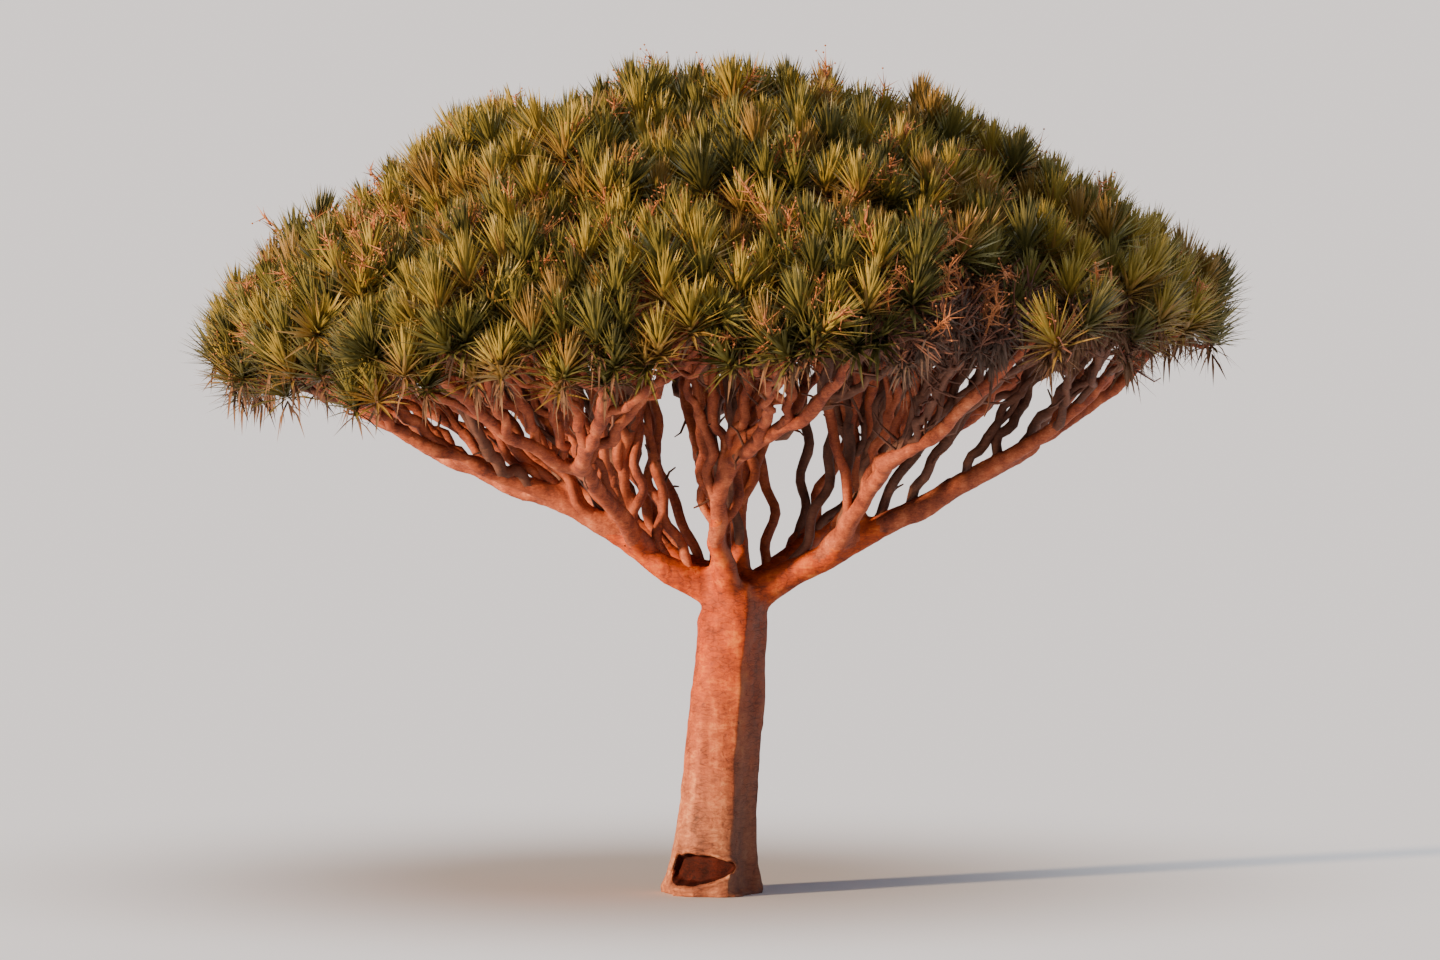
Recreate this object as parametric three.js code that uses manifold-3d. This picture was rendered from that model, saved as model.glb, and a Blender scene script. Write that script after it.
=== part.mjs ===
// A dragon blood tree: one stout leaning trunk, a fork of sinuous boughs that spread like the ribs
// of an umbrella, and a domed crown of separate leaf masses. Millimetres, +Z up. The origin is the
// middle of the flat cut under the trunk at ground level. +X is to the viewer's right, +Y away.
import * as THREE from 'three';
import { mergeVertices } from 'three/addons/utils/BufferGeometryUtils.js';
import Module from 'manifold-3d';

const wasm = await Module();
wasm.setup();

// Driving dimensions
const CROWN_TOP = 6240;        // ground to the highest leaf tips
const CROWN_RADIUS = 3840;     // crown's middle to its widest leaf tips
const RIM_HEIGHT = 4450;       // ground to the widest part of the crown
const RIM_TILT = 230;          // the rim is this much higher on the right, and lower on the left
const RIM_TILT_AZIMUTH = -35;  // degrees from +X towards +Y, the way the rim rises
const CROWN_SHIFT = 40;        // crown's middle, to the right of the trunk's foot
const LEAF_DEPTH = 700;        // thickness of the leafy shell over the dome
const RIM_DEPTH = 400;         // and at its lower edge, where it curls in
const FORK_HEIGHT = 2300;      // ground to the top of the trunk
const FORK_SPREAD = 95;        // how far from the trunk's middle the boughs start
const UPRIGHT_REACH = 1100;     // boughs that end nearer than this to the foot stand upright
const TRUNK_RADIUS_LOW = 292;  // above the root flare
const TRUNK_RADIUS_HIGH = 258; // below the fork
const ROOT_FLARE = 85;         // extra radius at the ground
const FLARE_HEIGHT = 230;      // the flare fades upwards over about this height
const TRUNK_LEAN = 190;        // the fork stands this far to the right of the foot
const GAP = 0.7;               // clearance left where two solids meet

// Mesh fineness
const TRUNK_SIDES = 20;
const TRUNK_STEPS = 11;
const LIMB_SIDES = 6;
const LIMB_STEP = 520;         // length of limb between one ring and the next
const MASS_DETAIL = 3;         // of the outer masses; the flatter ones inside have one less

const degrees = THREE.MathUtils.degToRad;
const mix = THREE.MathUtils.lerp;
const vec = (x, y, z) => new THREE.Vector3(x, y, z);

// Smooth unevenness between -1 and 1 that repeats over about the given length.
function uneven(p, length) {
  const f = (2 * Math.PI) / length;
  const waves = Math.sin(f * p.x + 1.3) + Math.sin(f * (0.8 * p.y + 0.6 * p.z) + 2.1);
  return (waves + Math.sin(f * (0.7 * p.z - 0.7 * p.x + 0.5 * p.y))) / 3;
}

// A closed geometry as a solid for cutting, and back again.
function toSolid(geometry) {
  const bare = geometry.index ? geometry.toNonIndexed() : geometry.clone();
  bare.deleteAttribute('normal');
  bare.deleteAttribute('uv');
  const merged = mergeVertices(bare, 1e-3);
  return new wasm.Manifold(new wasm.Mesh({
    numProp: 3,
    vertProperties: merged.attributes.position.array,
    triVerts: new Uint32Array(merged.index.array),
  }));
}

function toGeometry(solid) {
  const mesh = solid.getMesh();
  const geometry = new THREE.BufferGeometry();
  geometry.setAttribute('position', new THREE.BufferAttribute(mesh.vertProperties, 3));
  geometry.setIndex(new THREE.BufferAttribute(mesh.triVerts, 1));
  geometry.computeVertexNormals();
  return geometry;
}

// The geometry with every vertex pushed outwards, for cutting a neighbour with clearance.
function grown(geometry, by) {
  const skin = new THREE.BufferGeometry();
  skin.setAttribute('position', geometry.attributes.position.clone());
  if (geometry.index) skin.setIndex(geometry.index);
  const whole = mergeVertices(skin, 1e-3);
  whole.computeVertexNormals();
  const normal = whole.attributes.normal;
  let i = -1;
  return reshape(whole, (p) => {
    i += 1;
    return vec(p.x + by * normal.getX(i), p.y + by * normal.getY(i), p.z + by * normal.getZ(i));
  });
}

// The largest body that a cut leaves.
function largest(solid) {
  return solid.decompose().sort((a, b) => b.volume() - a.volume())[0];
}

// Moves every vertex of a geometry to where move(vertex) says.
function reshape(geometry, move) {
  const position = geometry.attributes.position;
  const p = vec(0, 0, 0);
  for (let i = 0; i < position.count; i++) {
    p.fromBufferAttribute(position, i);
    const q = move(p);
    position.setXYZ(i, q.x, q.y, q.z);
  }
  return geometry;
}

// The trunk

function trunkCentre(z) {
  const t = z / FORK_HEIGHT;
  return vec(TRUNK_LEAN * (0.75 * t + 0.25 * t * t), 0, z);
}

// Radius at a height and an angle round the trunk: a gentle taper, a swelling under the fork that
// closes in a rounded head, and a root flare that parts into lobes at the ground.
function trunkRadius(z, angle) {
  const t = z / FORK_HEIGHT;
  const taper = mix(TRUNK_RADIUS_LOW, TRUNK_RADIUS_HIGH, Math.min(1, t * 1.15));
  const lobes = 1 + 0.35 * Math.sin(5 * angle + 0.6) + 0.2 * Math.sin(3 * angle);
  const flare = ROOT_FLARE * Math.exp(-z / FLARE_HEIGHT) * lobes;
  const swelling = 26 * Math.exp(-(((t - 0.93) / 0.09) ** 2));
  const ripple = 7 * Math.sin(3 * angle + 5 * t) + 5 * Math.sin(2 * angle - 9 * t);
  return taper + flare + swelling + ripple;
}

function trunkGeometry() {
  const headHeight = 150;
  const tube = new THREE.CylinderGeometry(1, 1, 1, TRUNK_SIDES, TRUNK_STEPS);
  return reshape(tube, (p) => {
    const t = p.y + 0.5;
    // Rings lie closer together at the foot, where the flare bends most.
    const z = FORK_HEIGHT * t ** 1.35;
    const inside = Math.hypot(p.x, p.z);
    const angle = Math.atan2(-p.z, p.x);
    const head = Math.max(0, (z - FORK_HEIGHT + headHeight) / headHeight);
    const closing = Math.sqrt(Math.max(0, 1 - 0.5 * head ** 2));
    const radius = inside * trunkRadius(z, angle) * closing;
    const bulge = t === 1 ? 40 * (1 - inside) : 0;
    const c = trunkCentre(z);
    return vec(c.x + radius * Math.cos(angle), radius * Math.sin(angle), z + bulge);
  });
}

// The crown's outer surface. Its profile runs from the top over the widest part and curls in
// underneath; radius is a share of the crown's, and height is measured from the widest part.

const profile = new THREE.SplineCurve([
  new THREE.Vector2(0, 1),
  new THREE.Vector2(0.31, 0.91),
  new THREE.Vector2(0.6, 0.68),
  new THREE.Vector2(0.82, 0.38),
  new THREE.Vector2(0.95, 0.14),
  new THREE.Vector2(1, -0.06),
  new THREE.Vector2(0.98, -0.2),
  new THREE.Vector2(0.925, -0.31),
].map((p) => new THREE.Vector2(p.x * CROWN_RADIUS, p.y * (CROWN_TOP - RIM_HEIGHT))));

// The point at an azimuth, a share of the way from the top to the rim, and a depth inside.
function crownPoint(azimuth, share, depth) {
  const swirl = azimuth + 0.1 * Math.sin(5 * share + 1.5 * Math.sin(azimuth));
  const reach = 1 + 0.016 * Math.sin(5 * swirl + 0.4) + 0.012 * Math.sin(8 * swirl);
  const p = profile.getPointAt(share);
  const along = profile.getTangentAt(share);
  const radius = (p.x + depth * along.y) * mix(1, reach, share);
  const tilt = RIM_TILT * Math.cos(swirl - degrees(RIM_TILT_AZIMUTH)) * share ** 2;
  return vec(
    CROWN_SHIFT + Math.max(0, radius) * Math.cos(swirl),
    Math.max(0, radius) * Math.sin(swirl),
    RIM_HEIGHT + p.y - depth * along.x + tilt,
  );
}

const leafDepth = (share) => mix(LEAF_DEPTH, RIM_DEPTH, THREE.MathUtils.smoothstep(share, 0.7, 1));

// The leaf masses. Each fills one cell of the shell, bounded in azimuth and in share, and its
// corners are rounded off, which leaves the notches between one mass and the next.

const CELL_MARGIN = 0.006;     // share of the way down the dome, kept free at each cell's edge
const CELL_MARGIN_ANGLE = 0.016;
const ROUNDING = 5;            // 2 is a ball, more is squarer
const LUMP = 130;              // how far the masses' faces dip between their lumps
const TOP_EDGE = 0.25;
const OUTER_MASSES = 13;
const MIDDLE_MASSES = 6;

const topEdge = (azimuth) => TOP_EDGE + 0.03 * Math.sin(3 * azimuth + 1);
const middleEdge = (azimuth) => 0.585 + 0.03 * Math.sin(4 * azimuth) + 0.02 * Math.sin(7 * azimuth + 2);

// Uneven azimuths that part a ring into count cells.
function ringEdges(count, start, jitter) {
  const step = (2 * Math.PI) / count;
  const edges = [];
  for (let i = 0; i < count; i++) {
    edges.push(degrees(start) + step * (i + jitter * Math.sin(2.4 * i + 1)));
  }
  edges.push(edges[0] + 2 * Math.PI);
  return edges;
}

function ringCells(name, fineness, count, start, jitter, inner, outer) {
  const edges = ringEdges(count, start, jitter);
  return edges.slice(1).map((to, i) => ({
    name: `${name}_${i + 1}`,
    fineness,
    from: edges[i],
    to,
    middle: (edges[i] + to) / 2,
    inner,
    outer,
  }));
}

const outerCells = ringCells(
  'leaf_mass_outer', MASS_DETAIL, OUTER_MASSES, -4, 0.17, middleEdge, () => 1,
);
const middleCells = ringCells(
  'leaf_mass_middle', MASS_DETAIL - 1, MIDDLE_MASSES, 21, 0.12, topEdge, middleEdge,
);
const topCell = { name: 'leaf_mass_top', fineness: MASS_DETAIL - 1, middle: degrees(250) };

// Places a point of a rounded unit block in its cell. a runs down the dome, b round it, and c out.
function inCell(cell, a, b, c) {
  const inwards = (1 - c) / 2;
  if (cell === topCell) {
    const azimuth = Math.atan2(b, a);
    const share = Math.max(1e-4, Math.hypot(a, b) * (topEdge(azimuth) - CELL_MARGIN));
    return { azimuth, share, depth: inwards * leafDepth(share) };
  }
  const from = cell.from + CELL_MARGIN_ANGLE;
  const to = cell.to - CELL_MARGIN_ANGLE;
  const azimuth = mix(from, to, (b + 1) / 2);
  const inner = cell.inner(azimuth) + CELL_MARGIN;
  const outer = cell.outer(azimuth) - CELL_MARGIN;
  const share = mix(inner, outer, (a + 1) / 2);
  return { azimuth, share, depth: inwards * leafDepth(share) };
}

function massGeometry(cell) {
  const ball = new THREE.IcosahedronGeometry(1, cell.fineness);
  const power = (x) => Math.abs(x) ** ROUNDING;
  return reshape(ball, (p) => {
    // The top mass is round in plan, so only its edge towards the sky is squared off.
    const plan = cell === topCell ? power(Math.hypot(p.x, p.y)) : power(p.x) + power(p.y);
    const squarer = (plan + power(p.z)) ** (-1 / ROUNDING);
    const q = inCell(cell, p.x * squarer, p.y * squarer, p.z * squarer);
    const smooth = crownPoint(q.azimuth, q.share, q.depth);
    const dip = (LUMP * (1 + uneven(smooth, 1150))) / 2;
    return crownPoint(q.azimuth, q.share, q.depth + dip * (p.z > 0 ? p.z : 0.6 * p.z));
  });
}

// The limbs. Every limb is one tapering tube on a sinuous line between two points.

// Points of a limb's line. arch lifts its middle above the straight way, sway bends it to both
// sides in turn, and bow carries its middle to one side.
function limbLine(start, end, arch, sway, bow = 0) {
  const way = end.clone().sub(start);
  const side = vec(-way.y, way.x, 0).normalize();
  const points = [];
  const steps = 5;
  for (let i = 0; i <= steps; i++) {
    const t = i / steps;
    const p = start.clone().addScaledVector(way, t);
    p.z += arch * Math.sin(Math.PI * t);
    p.addScaledVector(side, sway * Math.sin(2.6 * Math.PI * t) * Math.sin(Math.PI * t));
    p.addScaledVector(side, bow * Math.sin(Math.PI * t));
    points.push(p);
  }
  return new THREE.CatmullRomCurve3(points);
}

function limbGeometry(limb) {
  const steps = Math.max(3, Math.round(limb.line.getLength() / LIMB_STEP));
  const tube = new THREE.CylinderGeometry(1, 1, 1, LIMB_SIDES, steps);
  const frames = limb.line.computeFrenetFrames(steps);
  return reshape(tube, (p) => {
    const i = Math.round((p.y + 0.5) * steps);
    const radius = mix(limb.thick, limb.thin, i / steps);
    const normal = frames.normals[i];
    const across = normal.clone().cross(frames.tangents[i]);
    return limb.line.getPointAt(i / steps)
      .addScaledVector(normal, p.x * radius)
      .addScaledVector(across, p.z * radius);
  });
}

// The first boughs. Each one's end is an azimuth from +X towards +Y, a reach from the trunk's foot
// and a height. It grows from the fork, or from another bough at a share of that bough's length.
const firstBoughs = [
  { name: 'bough_left', azimuth: 184, reach: 1230, height: 2990, thick: 122, thin: 88, arch: -20, sway: 30 },
  { name: 'bough_right', azimuth: 351, reach: 2380, height: 3330, thick: 128, thin: 82, arch: -15, sway: 60 },
  {
    name: 'bough_front', azimuth: 283, reach: 1180, height: 3430,
    thick: 88, thin: 70, arch: 40, sway: -30, bow: -230,
  },
  { name: 'bough_right_back', azimuth: 42, reach: 1900, height: 3200, thick: 108, thin: 80, arch: -40, sway: 70 },
  { name: 'bough_back', azimuth: 93, reach: 1600, height: 3160, thick: 108, thin: 80, arch: 40, sway: 65 },
  { name: 'bough_left_back', azimuth: 140, reach: 1650, height: 3060, thick: 104, thin: 80, arch: 50, sway: -70 },
  { name: 'bough_centre', azimuth: 60, reach: 330, height: 3760, thick: 76, thin: 62, arch: 0, sway: 60 },
  {
    name: 'bough_left_front', on: 'bough_left', at: 0.45,
    azimuth: 236, reach: 1700, height: 3260, thick: 84, thin: 70, arch: 40, sway: 60,
  },
  {
    name: 'bough_left_upright', on: 'bough_left', at: 0.62,
    azimuth: 212, reach: 640, height: 3640, thick: 76, thin: 60, arch: 0, sway: 60,
  },
  {
    name: 'bough_right_front', on: 'bough_right', at: 0.3,
    azimuth: 314, reach: 1830, height: 3270, thick: 86, thin: 70, arch: 40, sway: -60,
  },
  {
    name: 'bough_right_upright', on: 'bough_right', at: 0.4,
    azimuth: 335, reach: 1060, height: 3700, thick: 74, thin: 58, arch: 0, sway: -60,
  },
];

const onPolar = (azimuth, reach, height) =>
  vec(reach * Math.cos(degrees(azimuth)), reach * Math.sin(degrees(azimuth)), height);

const limbs = [];
const limbNamed = (name) => limbs.find((limb) => limb.name === name);

// The boughs leave the trunk from round its middle, so that the fork is as broad as the trunk.
const fork = trunkCentre(FORK_HEIGHT - 110);
for (const bough of firstBoughs) {
  const start = bough.on
    ? limbNamed(bough.on).line.getPointAt(bough.at)
    : fork.clone().add(onPolar(bough.azimuth, FORK_SPREAD, 0));
  const end = onPolar(bough.azimuth, bough.reach, bough.height);
  limbs.push({ ...bough, line: limbLine(start, end, bough.arch, bough.sway, bough.bow) });
}

// How far apart two azimuths are, in radians.
const apart = (a, b) => Math.abs(Math.atan2(Math.sin(a - b), Math.cos(a - b)));

function nearestOf(boughs, azimuth) {
  const off = (bough) => apart(degrees(bough.azimuth), azimuth);
  return boughs.sort((a, b) => off(a) - off(b))[0];
}

const spreading = () => limbs.filter((limb) => limb.reach > UPRIGHT_REACH);
const uprights = () => limbs.filter((limb) => limb.name.endsWith('upright'));

// A limb that carries a leaf mass. It grows from a share of its bough's length, and its line ends
// inside the mass, where the cut takes off what the mass covers.
function carryingLimb(cell, bough, at, share, depth, thick, thin, arch) {
  const start = bough.line.getPointAt(at);
  const end = crownPoint(cell.middle, share, depth * leafDepth(share));
  const sway = 80 * Math.sin(7 * cell.middle);
  const name = cell.name.replace('leaf_mass', 'limb');
  return { name, thick, thin, line: limbLine(start, end, arch, sway) };
}

const outerLimbs = outerCells.map((cell, i) => {
  const bough = nearestOf(spreading(), cell.middle);
  return carryingLimb(cell, bough, i % 2 ? 0.97 : 0.84, 0.89, 0.55, 72, 48, -150);
});
// The middle masses that stand over an upright bough are carried by it, and the rest by the
// spreading boughs.
const middleLimbs = middleCells.map((cell) => {
  const upright = nearestOf(uprights(), cell.middle);
  return apart(degrees(upright.azimuth), cell.middle) < 0.5
    ? carryingLimb(cell, upright, 0.96, 0.43, 0.7, 56, 46, 0)
    : carryingLimb(cell, nearestOf(spreading(), cell.middle), 0.8, 0.43, 0.7, 64, 46, -60);
});
const topLimb = carryingLimb(topCell, limbNamed('bough_centre'), 0.97, 0.06, 0.7, 62, 46, 30);

// The solids. A limb gives way to the trunk, to the limbs before it and to the masses.

const cells = [...outerCells, ...middleCells, topCell];
let taken = toSolid(grown(trunkGeometry(), GAP));
for (const cell of cells) {
  taken = taken.add(toSolid(grown(massGeometry(cell), GAP)));
}

const BARK = new THREE.MeshStandardMaterial({ name: 'bark', color: 0xa8704f, roughness: 0.86, metalness: 0 });
const LEAF = new THREE.MeshStandardMaterial({ name: 'leaf', color: 0x55602a, roughness: 0.62, metalness: 0 });

function named(name, geometry, material) {
  const mesh = new THREE.Mesh(geometry, material);
  mesh.name = name;
  return mesh;
}

const tree = new THREE.Group();
tree.name = 'dragon_blood_tree';
tree.add(named('trunk', toGeometry(toSolid(trunkGeometry())), BARK));

const boughGroup = new THREE.Group();
for (const limb of [...limbs, ...outerLimbs, ...middleLimbs, topLimb]) {
  const whole = toSolid(limbGeometry(limb));
  boughGroup.add(named(limb.name, toGeometry(largest(whole.subtract(taken))), BARK));
  taken = taken.add(toSolid(grown(limbGeometry(limb), GAP)));
}

const crownGroup = new THREE.Group();
for (const cell of cells) {
  crownGroup.add(named(cell.name, toGeometry(toSolid(massGeometry(cell))), LEAF));
}
tree.add(boughGroup, crownGroup);

export default tree;
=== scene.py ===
import itertools
import math

import bmesh
import bpy
import numpy as np
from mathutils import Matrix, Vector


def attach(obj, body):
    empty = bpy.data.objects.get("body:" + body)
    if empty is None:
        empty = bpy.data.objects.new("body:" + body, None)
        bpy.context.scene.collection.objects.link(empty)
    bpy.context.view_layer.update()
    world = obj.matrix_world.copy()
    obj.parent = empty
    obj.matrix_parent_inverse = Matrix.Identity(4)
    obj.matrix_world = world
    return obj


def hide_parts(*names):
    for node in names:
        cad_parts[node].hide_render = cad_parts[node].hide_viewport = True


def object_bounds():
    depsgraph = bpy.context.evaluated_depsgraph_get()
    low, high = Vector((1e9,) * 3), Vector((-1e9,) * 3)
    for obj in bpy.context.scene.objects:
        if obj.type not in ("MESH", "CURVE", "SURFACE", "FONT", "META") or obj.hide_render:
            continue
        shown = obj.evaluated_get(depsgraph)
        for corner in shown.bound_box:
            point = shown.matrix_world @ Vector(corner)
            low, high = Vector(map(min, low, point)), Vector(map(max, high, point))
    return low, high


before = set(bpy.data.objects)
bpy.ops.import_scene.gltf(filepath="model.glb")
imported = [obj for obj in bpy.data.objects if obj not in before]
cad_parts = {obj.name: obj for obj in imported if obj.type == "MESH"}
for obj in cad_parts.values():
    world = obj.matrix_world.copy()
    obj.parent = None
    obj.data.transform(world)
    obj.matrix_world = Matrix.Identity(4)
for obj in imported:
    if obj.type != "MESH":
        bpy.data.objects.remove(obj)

cad_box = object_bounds()

TREE_SEED = 41
UP = np.array([0.0, 0.0, 1.0])

# Rosettes
CROWN_FOCUS = np.array([0.1, 0.0, 1.6])  # the crown's surface faces away from this point
SITES_PER_M2 = 260           # places on the leaf masses that rosettes are picked from
ROSETTE_SPACING = 0.229      # between one rosette and the next on the crown's surface
LEAF_LENGTH = 0.37
LEAF_WIDTH = 0.029
LEAVES_PER_ROSETTE = 100
CROWN_TOP = 6.1              # no leaf tips stand much above this height
RIM_INSET = 0.06             # the widest rosettes' places stay this far inside the frame's box
NOTCH_DEPTH = 0.13           # how much deeper the crown is between two of its masses
NOTCH_REACH = 1.1            # how far apart the masses on a notch's two sides may be
NOTCH_ROUNDS = 12            # how often places are looked for there
NOTCH_SAMPLE = 1600          # places compared in each round
NOTCH_PAIRS = 2600           # dry leaves that hang under the green ones: partly old leaves, partly painted shade under the crown
DRY_LEAVES_AND_SHADE_PER_ROSETTE = 10  # old leaves that hang under the green ones
PANICLE_SHARE = 0.26         # rosettes that still carry last year's flower stalk
PANICLE_SPIKES = 26
PANICLE_BERRIES = 10
SPENT_SHARE = 0.012          # branch ends that have flowered and have no rosette now

# Branches
TIP_RADIUS = 0.0185          # of a branch with one rosette
PIPE_POWER = 0.42            # a branch's radius grows with this power of its rosettes
BRANCH_STEP = 0.065          # from ring to ring along a branch
BRANCH_BEND = 0.065          # how far a branch bends aside, as a share of its length
BARK_VOXEL = 0.029           # of the skin over trunk and boughs; it is halved below FINE_BELOW
FINE_BELOW = 2.45

# The dead patch low on the right of the crown's front: bare twigs, then dry rosettes beside them
CROWN_FRONT = -0.8           # what lies nearer the viewer than this is the crown's front
DEAD_X = (1.35, 2.45)
DEAD_TOP = 4.9
DRY_X = (2.3, 3.1)
DRY_Z = (3.7, 4.75)
DEAD_BARE_SHARE = 0.55       # of the dead patch's branch ends
WITHERED_UP_TO = 0.9         # above this chance a rosette of either patch stays green

# The hollow in the trunk's foot, from the middle of its front round to its left side. Angles are
# round the trunk, 0 being in front and more to the right.
HOLLOW_MIDDLE = math.radians(-24)
HOLLOW_HALF_ANGLE = math.radians(53)
HOLLOW_HEIGHT = 0.195
HOLLOW_HALF_HEIGHT = 0.115
HOLLOW_DEPTH = 0.13
RESIN_AND_SHADE_FROM = 0.96            # where its dark red resin, with painted shade, starts, its rim being at 1

# The trunk, and the ridge up its front, at its angle round the trunk, with how far round the flat
# face right of it reaches
TRUNK_HEIGHT = 2.3
TRUNK_LEAN = 0.19            # how far right of its foot the fork is
TRUNK_RADIUS = 0.27
RIDGE_ANGLE = math.radians(22)
FACE_ANGLE = math.radians(70)
RELIEF_TOP = 2.5             # the trunk's own relief fades out over RELIEF_FADE below this
RELIEF_FADE = 0.5
FLAT_BELOW = 0.012           # what lies lower is flattened to the ground
YOUNG_BARK_FROM = 2.6        # the height where the trunk's bark passes into that of the boughs


def unit(v):
    """The vector, or each row's vector, at length 1."""
    return v / np.maximum(np.linalg.norm(v, axis=-1, keepdims=True), 1e-9)


def noise(points, size, seed):
    """Smooth noise from -1 to 1 at each point. It changes over about size metres."""
    p = points / size
    corner = np.floor(p).astype(np.int64)
    f = p - corner
    f = f * f * (3 - 2 * f)
    total = np.zeros(len(points))
    for step in itertools.product((0, 1), repeat=3):
        c = corner + step
        h = c[:, 0] * 73856093 ^ c[:, 1] * 19349663 ^ c[:, 2] * 83492791 ^ seed * 2654435
        h = (h ^ (h >> 13)) * 1274126177 & 0x7FFFFFFF
        value = ((h ^ (h >> 16)) & 0xFFFF) / 32767.5 - 1
        weight = np.prod(np.where(step, f, 1 - f), axis=1)
        total += value * weight
    return total


# The frame's solids as numbers

def rows(items, key, width, kind=float):
    """A property of each of a mesh's points, edges or faces, as a row of width numbers."""
    values = np.empty(len(items) * width, kind)
    items.foreach_get(key, values)
    return values.reshape(-1, width)


def mesh_arrays(name):
    """A CAD node's points, edges and triangles."""
    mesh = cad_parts[name].data
    mesh.calc_loop_triangles()
    edges = rows(mesh.edges, "vertices", 2, np.int32)
    faces = rows(mesh.loop_triangles, "vertices", 3, np.int32)
    return rows(mesh.vertices, "co", 3), edges, faces


def slices(points, edges, axis, levels):
    """Where the edges pass each level along the axis."""
    along = points @ axis
    a, b = edges.T
    for level in levels:
        crossing = (along[a] - level) * (along[b] - level) < 0
        one, other = a[crossing], b[crossing]
        share = (level - along[one]) / (along[other] - along[one])
        yield points[one] + share[:, None] * (points[other] - points[one])


END_INSET = 0.06             # the last slice of a limb lies this far inside its upper end
SLICE_STEP = 0.12
CORNER_ALLOWANCE = 1.04      # a round limb is this much wider than the mean of a faceted one


def limb_course(name, cut):
    """A CAD limb's middle line and its radius along it, from its lower end to its upper end.

    cut is the length at its lower end where what carries it has bitten into its outline.
    """
    points, edges, _ = mesh_arrays(name)
    axis = np.linalg.svd(points - points.mean(0), full_matrices=False)[2][0]
    axis = axis if axis[2] > 0 else -axis
    along = points @ axis
    low, high = along.min() + cut, along.max() - END_INSET
    levels = np.linspace(low, high, max(4, round((high - low) / SLICE_STEP)))
    line, radii = [], []
    for ring in slices(points, edges, axis, levels):
        middle = (ring.min(0) + ring.max(0)) / 2
        line.append(middle)
        radii.append(np.linalg.norm(ring - middle, axis=1).mean() * CORNER_ALLOWANCE)
    return np.array(line), np.array(radii)


BOUGHS = [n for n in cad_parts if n.startswith("bough_")]
LIMBS = [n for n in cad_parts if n.startswith("limb_")]
MASSES = [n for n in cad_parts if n.startswith("leaf_mass_")]


# Making joined pieces

class Stock:
    """Gathers the points and triangles of one joined piece."""

    def __init__(self):
        self.points = []
        self.faces = []
        self.count = 0

    def add(self, points, faces):
        self.points.append(points)
        self.faces.append(faces + self.count)
        self.count += len(points)

    def piece(self, name, material, smooth=True):
        points = np.concatenate(self.points)
        faces = np.concatenate(self.faces)
        mesh = bpy.data.meshes.new(name)
        mesh.vertices.add(len(points))
        mesh.vertices.foreach_set("co", points.astype(np.float32).ravel())
        mesh.loops.add(faces.size)
        mesh.loops.foreach_set("vertex_index", faces.astype(np.int32).ravel())
        mesh.polygons.add(len(faces))
        mesh.polygons.foreach_set("loop_start", np.arange(0, faces.size, 3, dtype=np.int32))
        mesh.polygons.foreach_set("use_smooth", np.full(len(faces), smooth))
        mesh.update(calc_edges=True)
        mesh.validate()
        obj = bpy.data.objects.new(name, mesh)
        bpy.context.scene.collection.objects.link(obj)
        mesh.materials.append(material)
        return obj


OTHER_WAY = [0, 2, 1]        # the corners of a triangle that faces the other way


def between_rings(count, sides):
    """The triangles between each of count rings of points and the next, two to a side."""
    i = np.arange(count - 1)[:, None] * sides
    j = np.arange(sides)
    k = (j + 1) % sides
    a, b, c, d = i + j, i + k, i + sides + k, i + sides + j
    return np.concatenate([np.stack(part, -1).reshape(-1, 3) for part in ((a, b, c), (a, c, d))])


def fan(middle, ring):
    """The triangles from a middle point to each side of a ring."""
    return np.stack([np.full(len(ring), middle), ring, np.roll(ring, -1)], -1)


def tube(line, radii, sides):
    """A round tube on a line, with a domed far end. Its near end is open, inside what carries it."""
    tip = unit(line[-1] - line[-2])
    # Two rings of the dome: how far out along the tip and how wide, as shares of the end's radius.
    dome = np.array([[0.55, 0.83], [0.88, 0.47]])
    line = np.vstack([line, line[-1] + np.outer(dome[:, 0] * radii[-1], tip)])
    radii = np.concatenate([radii, radii[-1] * dome[:, 1]])
    along = unit(np.gradient(line, axis=0))
    chord = line[-1] - line[0]
    least = np.eye(3)[np.argmin(np.abs(chord))]
    across = unit(np.cross(along, least))
    other = np.cross(along, across)
    turn = np.linspace(0, 2 * np.pi, sides, endpoint=False)
    rings = (
        line[:, None]
        + radii[:, None, None] * np.cos(turn)[None, :, None] * across[:, None]
        + radii[:, None, None] * np.sin(turn)[None, :, None] * other[:, None]
    )
    count = len(line)
    points = np.vstack([rings.reshape(-1, 3), line[-1] + tip * radii[-1] * 0.25])
    cap = fan(len(points) - 1, (count - 1) * sides + np.arange(sides))
    return points, np.concatenate([between_rings(count, sides), cap])[:, OTHER_WAY]


def smooth_between(t, start, start_way, end, end_way, length):
    """Points at shares t of a smooth curve that leaves and arrives the ways given."""
    return (
        (2 * t**3 - 3 * t**2 + 1) * start
        + (t**3 - 2 * t**2 + t) * start_way * length
        + (3 * t**2 - 2 * t**3) * end
        + (t**3 - t**2) * end_way * length
    )


def bent(start, start_way, end, end_way, steps):
    """The points of such a curve at even steps, both ends among them."""
    t = np.linspace(0, 1, steps + 1)[:, None]
    return smooth_between(t, start, start_way, end, end_way, np.linalg.norm(end - start))


def resampled(line, radii, step):
    """The line and radii at even steps along a smooth curve through them."""
    gaps = np.linalg.norm(np.diff(line, axis=0), axis=1)
    at = np.concatenate([[0], np.cumsum(gaps)])
    to = np.linspace(0, at[-1], max(3, round(at[-1] / step)) + 1)
    way = np.gradient(line, at, axis=0)
    i = np.clip(np.searchsorted(at, to) - 1, 0, len(gaps) - 1)
    t = ((to - at[i]) / gaps[i])[:, None]
    smooth = smooth_between(t, line[i], way[i], line[i + 1], way[i + 1], gaps[i][:, None])
    return smooth, np.interp(to, at, radii)


# Materials

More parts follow.
